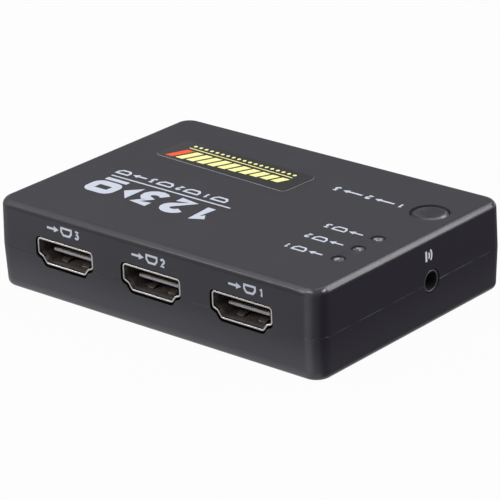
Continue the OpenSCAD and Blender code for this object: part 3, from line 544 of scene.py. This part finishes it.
def rounded_box(width, height, radius):
    """A rectangle about the origin with rounded corners."""
    x = width / 2 - radius
    y = height / 2 - radius
    corners = [((x, y), 0), ((-x, y), 90), ((-x, -y), 180), ((x, -y), 270)]
    return [point for middle, start in corners for point in arc(middle, radius, start, start + 90)]


SHARPEST_MITRE = 0.8


def line(path, width, closed=False):
    """The outline of a mitred line along a path. A closed one has its hole as a second outline."""
    path = [Vector(point) for point in path]
    left = []
    right = []
    for i, point in enumerate(path):
        before = path[i - 1] if closed or i else None
        after = path[(i + 1) % len(path)] if closed or i + 1 < len(path) else None
        arrive = (point - before).normalized() if before else (after - point).normalized()
        leave = (after - point).normalized() if after else arrive
        out_before = arrive.orthogonal()
        out_after = leave.orthogonal()
        mitre = (out_before + out_after) / max(1 + out_before.dot(out_after), SHARPEST_MITRE)
        left.append(point + mitre * width / 2)
        right.append(point - mitre * width / 2)
    return [left, right] if closed else [left + right[::-1]]


def moved(shapes, x, y):
    """The shapes, each an outline and its holes, moved across and up."""
    return [[[point + Vector((x, y)) for point in loop] for loop in loops] for loops in shapes]


def centred(shapes):
    """The shapes about the middle of their own box."""
    points = [point for loops in shapes for loop in loops for point in loop]
    xs = [point.x for point in points]
    ys = [point.y for point in points]
    return moved(shapes, -(min(xs) + max(xs)) / 2, -(min(ys) + max(ys)) / 2)


# Printed signs, in millimetres, each with its lower left corner at the origin

NUMERAL_WIDTH = 0.56
NUMERAL_PATHS = {
    1: [(0.10, 0.76), (0.36, 1), (0.36, 0)],
    2: arc((0.28, 0.72), 0.28, 170, -38) + [(0, 0), (NUMERAL_WIDTH, 0)],
    3: [(0.02, 1), (0.53, 1), (0.25, 0.6)] + arc((0.25, 0.3), 0.3, 80, -150),
}


def numeral(digit, height, weight, broad=1):
    """A figure drawn with a line of that weight, as broad as its own width times a number."""
    tall = height - weight
    path = [(broad * tall * x + weight / 2, tall * y + weight / 2) for x, y in NUMERAL_PATHS[digit]]
    return [line(path, weight)]


def triangle(width, height):
    """An arrow's head that points to the right."""
    return [[[Vector((0, 0)), Vector((width, height / 2)), Vector((0, height))]]]


def arrow(length, height, weight):
    """An arrow that points to the right."""
    head_h = 0.7 * height
    head = moved(triangle(head_h, head_h), length - head_h, (height - head_h) / 2)
    return [line([(0, height / 2), (length - head_h, height / 2)], weight)] + head


def port(width, height, weight):
    """The outline of a socket's mouth."""
    shares = [(0, 1), (1, 1), (1, 0.45), (0.8, 0), (0.2, 0), (0, 0.45)]
    path = [(u * (width - weight), v * (height - weight)) for u, v in shares]
    return moved([line(path, weight, True)], weight / 2, weight / 2)


# Widths and gaps in a sign, as shares of its height
ARROW_W = 1.7
ARROW_GAP = 0.25
PORT_W = 1.65
INTO_PORT_W = ARROW_W + ARROW_GAP + PORT_W
CHAIN_PORT_W = 1.8
FIGURE_GAP = 0.35


def into_port(height, weight):
    """An arrow and the socket that it points at."""
    socket = port(PORT_W * height, height, weight)
    return arrow(ARROW_W * height, height, weight) + moved(socket, (ARROW_W + ARROW_GAP) * height, 0)


def input_sign(digit, height, weight):
    """An arrow into a socket, and the socket's figure."""
    figure = numeral(digit, height, weight)
    return into_port(height, weight) + moved(figure, (INTO_PORT_W + FIGURE_GAP) * height, 0)


def step_sign(width, height, weight):
    """The figures 1 to 3 with an arrow between them."""
    pitch = (width - NUMERAL_WIDTH * height) / 2
    shapes = []
    for digit in NUMERAL_PATHS:
        x = (digit - 1) * pitch
        shapes += moved(numeral(digit, height, weight), x, 0)
        if digit > 1:
            shapes += moved(arrow(0.6 * pitch, height, weight), x - 0.7 * pitch, 0)
    return shapes


def selector_sign(width, height, weight):
    """Three big figures, an arrow's head and a screen on its foot."""
    broad = 1.25
    gap = 0.035 * width
    step = broad * NUMERAL_WIDTH * (height - weight) + weight + gap
    head_w = 0.09 * width
    screen_x = 3 * step + head_w + gap
    screen_w = width - screen_x
    screen_h = 0.76 * height
    foot_h = 0.6 * weight
    shapes = moved(triangle(head_w, 0.8 * height), 3 * step, 0.1 * height)
    for i, digit in enumerate(NUMERAL_PATHS):
        shapes += moved(numeral(digit, height, weight, broad), i * step, 0)
    screen = line(rounded_box(screen_w - weight, screen_h - weight, 0.55 * weight), weight, True)
    shapes += moved([screen], screen_x + screen_w / 2, height - screen_h / 2)
    foot_ends = [(screen_x + share * screen_w, foot_h / 2) for share in (0.1, 0.9)]
    return shapes + [line(foot_ends, foot_h)]


def chain_sign(width, height, weight):
    """Three numbered sockets in a row, then an arrow to a fourth."""
    port_w = CHAIN_PORT_W * height
    pitch = (width - INTO_PORT_W * height) / 3
    shapes = moved(into_port(height, weight), 3 * pitch, 0)
    for digit in NUMERAL_PATHS:
        x = (digit - 1) * pitch
        shapes += moved(port(port_w, height, weight), x, 0)
        shapes += moved(numeral(digit, height, weight), x + port_w + FIGURE_GAP * height, 0)
    return shapes


WAVE_R = (0.45, 0.8)
WAVE_HALF_ANGLE = 38


def receiver_sign(height, weight):
    """A window with two waves that come in to it."""
    middle = (weight / 2, height / 2)
    window = line([(weight / 2, 0), (weight / 2, height)], 1.3 * weight)
    waves = [arc(middle, share * height, -WAVE_HALF_ANGLE, WAVE_HALF_ANGLE) for share in WAVE_R]
    return [window] + [line(wave, weight) for wave in waves]


# Prints on the case

PRINT_T = 0.012
PRINT_SINK = 0.006
FAR = 200


def on_face(node, point, towards, across):
    """A function that places millimetres across, up and out from the spot where a ray meets a face."""
    aim = Vector(towards)
    _, spot, normal, _ = nodes[node].ray_cast((Vector(point) - aim * FAR) * MM, aim)
    up = normal.cross(Vector(across)).normalized()
    right = up.cross(normal)

    def place(u, v, w):
        return spot + (right * u + up * v + normal * w) * MM
    return place


def printed(name, shapes, place, material):
    """A sign of thin ink on a face."""
    mesh = bmesh.new()
    for loops in shapes:
        add_slab(mesh, loops, -PRINT_SINK, PRINT_T, place)
    piece(name, mesh, material, "case")


def print_on_roof(name, shapes, x, y):
    """A white sign on the roof, which is read from the output side."""
    place = on_face("top_shell", (x, y, 0), (0, 0, -1), (-1, 0, 0))
    printed(name, centred(shapes), place, white_ink)


WALL_SIGN_H = 1.85
SIGN_LINE = 0.44
INPUT_SIGN_OFF_X = {1: 1.2, 2: -0.4, 3: -0.1}
INPUT_SIGN_Z = {1: 15.9, 2: 15.9, 3: 16.2}
OUTPUT_SIGN_Z = 15.9
LAMP_SIGN_H = 1.95
LAMP_SIGN_X = 26.0
LAMP_SIGN_OFF_Y = -0.45

for digit in NUMERAL_PATHS:
    sign = centred(input_sign(digit, WALL_SIGN_H, SIGN_LINE))
    sign_x = middle_mm(f"input_{digit}_shell").x + INPUT_SIGN_OFF_X[digit]
    wall = on_face("top_shell", (sign_x, 0, INPUT_SIGN_Z[digit]), (0, 1, 0), (1, 0, 0))
    printed(f"input_{digit}_sign", sign, wall, white_ink)
    lamp_sign = input_sign(digit, LAMP_SIGN_H, SIGN_LINE)
    lamp_sign_y = middle_mm(f"lamp_{digit}").y + LAMP_SIGN_OFF_Y
    print_on_roof(f"lamp_{digit}_sign", lamp_sign, LAMP_SIGN_X, lamp_sign_y)

ROOF_LINE = 0.55
BUTTON_SIGN_W = 16.9
BUTTON_SIGN_H = 2.0
BUTTON_SIGN_X = 19.2
BUTTON_SIGN_Y = 13.9
SELECTOR_W = 32.4
SELECTOR_H = 7.6
SELECTOR_LINE = 2.0
SELECTOR_X = -15.0
SELECTOR_Y = -11.2
RULE_W = 31.2
RULE_LINE = 0.45
RULE_X = -14.6
RULE_Y = -6.25
CHAIN_W = 29
CHAIN_H = 2.15
CHAIN_X = -16.2
CHAIN_Y = -3.8

button_sign = step_sign(BUTTON_SIGN_W, BUTTON_SIGN_H, ROOF_LINE)
print_on_roof("button_sign", button_sign, BUTTON_SIGN_X, BUTTON_SIGN_Y)
selector = selector_sign(SELECTOR_W, SELECTOR_H, SELECTOR_LINE)
print_on_roof("selector_sign", selector, SELECTOR_X, SELECTOR_Y)
print_on_roof("rule_sign", [line([(0, 0), (RULE_W, 0)], RULE_LINE)], RULE_X, RULE_Y)
print_on_roof("chain_sign", chain_sign(CHAIN_W, CHAIN_H, ROOF_LINE), CHAIN_X, CHAIN_Y)

RECEIVER_SIGN_H = 2.1
RECEIVER_SIGN_LINE = 0.42
RECEIVER_SIGN_Y = 4.5
RECEIVER_SIGN_Z = 15.36

jack_wall = on_face("top_shell", (0, RECEIVER_SIGN_Y, RECEIVER_SIGN_Z), (-1, 0, 0), (0, 1, 0))
jack_sign = centred(receiver_sign(RECEIVER_SIGN_H, RECEIVER_SIGN_LINE))
# This sign's ink is painted paler, as painted light.
printed("receiver_sign", jack_sign, jack_wall, painted_light_ink)
output_wall = on_face("top_shell", (0, 0, OUTPUT_SIGN_Z), (0, -1, 0), (-1, 0, 0))
output_sign = centred(into_port(WALL_SIGN_H, SIGN_LINE))
printed("output_sign", output_sign, output_wall, white_ink)


# Sticker

LABEL_W = 35.2
LABEL_D = 9.8
LABEL_R = 1.2
LABEL_TURN = Matrix.Rotation(math.radians(-2.2), 3, "Z")
FILM_T = 0.04
FILM_IN = 0.06


def label_place(u, v, w):
    """The sticker's own frame: read from the output side, with w up from its face."""
    spot = Vector((LABEL_MIDDLE.x, LABEL_MIDDLE.y, LABEL_HIGH.z - PRINT_T))
    return (spot + LABEL_TURN @ Vector((-u, -v, w))) * MM


def label_layer(name, shapes, low, high, material):
    """A flat layer of the sticker between two heights."""
    mesh = bmesh.new()
    for loops in shapes:
        add_slab(mesh, loops, low, high, label_place)
    return piece(name, mesh, material, "case")


def label_print(name, shapes, material):
    """A print of thin ink on the sticker's film."""
    label_layer(name, shapes, -PRINT_SINK, PRINT_T, material)


paper_outline = rounded_box(LABEL_W, LABEL_D, LABEL_R)
film_outline = rounded_box(LABEL_W - 2 * FILM_IN, LABEL_D - 2 * FILM_IN, LABEL_R - FILM_IN)
paper_low = PRINT_T - (LABEL_HIGH.z - LABEL_LOW.z)
label_layer("label_backing", [[paper_outline]], paper_low, -FILM_T, label_paper)
film = label_layer("label_film", [[film_outline]], -FILM_T, 0, finishes["label_gloss"])
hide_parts("top_label")

BAR_COUNT = 11
BAR_PITCH = 2.6
BAR_W = 1.9
BAR_LEAN = 0.4
BAR_FOOT = -0.7
BAR_LOW = 2.6
BAR_HIGH = 4.7
ACCENT_BARS = 1


def bar(i):
    """One leaning bar of a row that grows to the right."""
    height = BAR_LOW + (BAR_HIGH - BAR_LOW) * i / (BAR_COUNT - 1)
    x = (i - BAR_COUNT / 2) * BAR_PITCH
    lean = BAR_LEAN * height
    corners = [(x, 0), (x + BAR_W, 0), (x + BAR_W + lean, height), (x + lean, height)]
    return [[Vector((u, BAR_FOOT + v)) for u, v in corners]]


bars = [bar(i) for i in range(BAR_COUNT)]
label_print("label_bars", bars[:-ACCENT_BARS], yellow_ink)
label_print("label_accent", bars[-ACCENT_BARS:], orange_ink)

LABEL_RULE_HALF = 14
LABEL_RULE_LINE = 0.3
LABEL_RULE_V = -1.7
DOT_COUNT = 19
DOT_PITCH = 1.5
DOT_R = 0.42
DOT_V = -3
DOT_SIDES = 12


def dot(i):
    """One round dot of a centred row."""
    u = (i - (DOT_COUNT - 1) / 2) * DOT_PITCH
    return [arc((u, DOT_V), DOT_R, 0, 360 - 360 / DOT_SIDES, DOT_SIDES - 1)]


label_rule = line([(-LABEL_RULE_HALF, LABEL_RULE_V), (LABEL_RULE_HALF, LABEL_RULE_V)], LABEL_RULE_LINE)
label_print("label_rule", [label_rule], yellow_ink)
label_print("label_dots", [dot(i) for i in range(DOT_COUNT)], yellow_ink)


# Select button

BUTTON_R = 3.72
BUTTON_BEVEL_W = 0.7
BUTTON_BEVEL_H = 0.45
BUTTON_DISH = 0.7
BUTTON_STEM_R = 1.6
BUTTON_STEM_H = 1.3
FLANGE_T = 1.0
FLANGE_LOW = BUTTON_LOW.z + BUTTON_STEM_H
FLANGE_HIGH = FLANGE_LOW + FLANGE_T
FLANGE_R = BUTTON_HIGH.x - BUTTON_MIDDLE.x
DISH_STEPS = 16


def button_profile():
    """Stem, flange, side, bevelled edge and the shallow dish that a finger finds."""
    rim_z = BUTTON_HIGH.z
    dish_r = BUTTON_R - BUTTON_BEVEL_W
    shares = [1 - i / DISH_STEPS for i in range(DISH_STEPS + 1)]
    dish = [(dish_r * share, rim_z - BUTTON_DISH * (1 - share ** 2)) for share in shares]
    return [
        (0, BUTTON_LOW.z), (BUTTON_STEM_R, BUTTON_LOW.z), (BUTTON_STEM_R, FLANGE_LOW),
        (FLANGE_R, FLANGE_LOW), (FLANGE_R, FLANGE_HIGH), (BUTTON_R, FLANGE_HIGH),
        (BUTTON_R, rim_z - BUTTON_BEVEL_H), *dish,
    ]


button_axis = Vector((BUTTON_MIDDLE.x, BUTTON_MIDDLE.y, 0))
button = lathe("button_cap", button_profile(), button_axis, finishes["button_black"], "button")
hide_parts("select_button")


# Snap dome under the button

DOME_R = (DOME_HIGH.x - DOME_LOW.x) / 2
DOME_H = DOME_HIGH.z - DOME_LOW.z
DOME_T = 0.1
DOME_STEPS = 12


def dome_profile():
    """A thin shallow bowl, upside down: its hollow face and then its crown."""
    shares = [i / DOME_STEPS for i in range(DOME_STEPS + 1)]
    rise = DOME_H - DOME_T
    hollow = [(DOME_R * share, DOME_LOW.z + rise * (1 - share ** 2)) for share in shares]
    return hollow + [(radius, height + DOME_T) for radius, height in reversed(hollow)]


dome = lathe("snap_dome", dome_profile(), button_axis, finishes["tinned_steel"], "case")
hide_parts("switch_dome")
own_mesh(dome)


# Finish of every piece that the frame brings

for name in nodes:
    dress(name)


# Camera, floor and light, with their places in metres

AIM = Vector((3.043, -3.231, 10.0)) * MM
DISTANCE = 580.96 * MM
AZIMUTH = math.radians(41.008)
ELEVATION = math.radians(22.368)
ROLL = math.radians(-2.077)
LENS = 214.578
SENSOR = 36
CLIP_START = 10 * MM


def add_camera():
    """A long lens at the photograph's angle."""
    turn = (
        Matrix.Rotation(AZIMUTH, 4, "Z")
        @ Matrix.Rotation(math.pi / 2 - ELEVATION, 4, "X")
        @ Matrix.Rotation(ROLL, 4, "Z")
    )
    data = bpy.data.cameras.new("camera")
    data.lens = LENS
    data.sensor_width = SENSOR
    data.clip_start = CLIP_START
    camera = bpy.data.objects.new("camera", data)
    camera.matrix_world = Matrix.Translation(AIM + turn.to_3x3() @ Vector((0, 0, DISTANCE))) @ turn
    bpy.context.scene.collection.objects.link(camera)
    bpy.context.scene.camera = camera


FLOOR_HALF = 4
FLOOR_Z = -0.02 * MM
FLOOR_GREY = 0.3
FLOOR_GLOW = {"Is Camera Ray": 0.97, "Is Glossy Ray": 0.5, "Is Transmission Ray": 0.5}


def floor_paper(place):
    """Pale paper that shows as plain white and still keeps a shadow."""
    rays = [place.node("LightPath", {}, {}, ray) * share for ray, share in FLOOR_GLOW.items()]
    seen, glossy, through = rays
    glow = seen.either(glossy).either(through)
    paper = place.node("BsdfDiffuse", {}, {"Color": grey(FLOOR_GREY)})
    white = place.node("Emission", {}, {"Color": grey(1)})
    return place.node("MixShader", {}, {0: glow, 1: paper, 2: white})


def add_floor():
    """A flat sheet of paper just under the feet."""
    mesh = bmesh.new()
    signs = [(-1, -1), (1, -1), (1, 1), (-1, 1)]
    corners = [(x * FLOOR_HALF, y * FLOOR_HALF, FLOOR_Z) for x, y in signs]
    mesh.faces.new([mesh.verts.new(corner) for corner in corners])
    data = bpy.data.meshes.new("floor")
    mesh.to_mesh(data)
    mesh.free()
    data.materials.append(finish("floor_paper", floor_paper))
    floor = bpy.data.objects.new("floor", data)
    bpy.context.scene.collection.objects.link(floor)


LIGHT_DISTANCE = 0.8


def add_softbox(name, direction, size, radiance, distance=LIGHT_DISTANCE, along=(0, 0, 1)):
    """A flat light that faces the box from a direction, with its height along another."""
    width, height = size
    data = bpy.data.lights.new(name, "AREA")
    data.shape = "RECTANGLE"
    data.size = width
    data.size_y = height
    data.energy = radiance * math.pi * width * height
    softbox = bpy.data.objects.new(name, data)
    back = Vector(direction).normalized()
    side = Vector(along).cross(back).normalized()
    turn = Matrix((side, back.cross(side), back)).transposed()
    softbox.matrix_world = Matrix.Translation(AIM + back * distance) @ turn.to_4x4()
    bpy.context.scene.collection.objects.link(softbox)


SKY_LOW = math.sin(math.radians(5))
SKY_HIGH = math.sin(math.radians(14))
SKY_GREY = 0.16


def add_sky():
    """A dim grey studio, whose walls show as white near the floor."""
    world = bpy.data.worlds.new("studio")
    bpy.context.scene.world = world
    world.use_nodes = True
    tree = world.node_tree
    tree.nodes.clear()
    way = Value(tree).node("TexCoord", {}, {}, "Generated")
    seen, glossy, through = (way.node("LightPath", {}, {}, ray) for ray in FLOOR_GLOW)
    wall = axes(way)[2].fall(SKY_LOW, SKY_HIGH) * seen.either(glossy).either(through)
    colour = wall.mix(grey(SKY_GREY), grey(1))
    sky = colour.node("Background", {}, {"Color": colour})
    output = tree.nodes.new("ShaderNodeOutputWorld")
    tree.links.new(sky.socket, output.inputs["Surface"])


add_camera()
add_floor()
add_sky()
add_softbox("key_light", (-0.45, -0.45, 0.77), (0.8, 0.8), 1.64, distance=0.75)
add_softbox("fill_light", (-0.72, -0.62, 0.3), (0.16, 0.16), 6.9, distance=0.34)
add_softbox("front_light", (0.03, -0.70, 0.715), (0.42, 0.22), 4.2)
add_softbox("side_light", (0.57, 0.40, 0.72), (0.34, 0.26), 5.8)
add_softbox("edge_light", (0.48, 0.70, 0.50), (0.14, 0.7), 5.5, along=(-0.72, 0, 0.70))
add_softbox("corner_light", (0.76, 0.23, 0.60), (0.24, 0.24), 5.6)
add_softbox("button_light", (0.05, 0.52, 0.855), (0.18, 0.9), 2.8)
bpy.context.scene.view_settings.view_transform = "Standard"
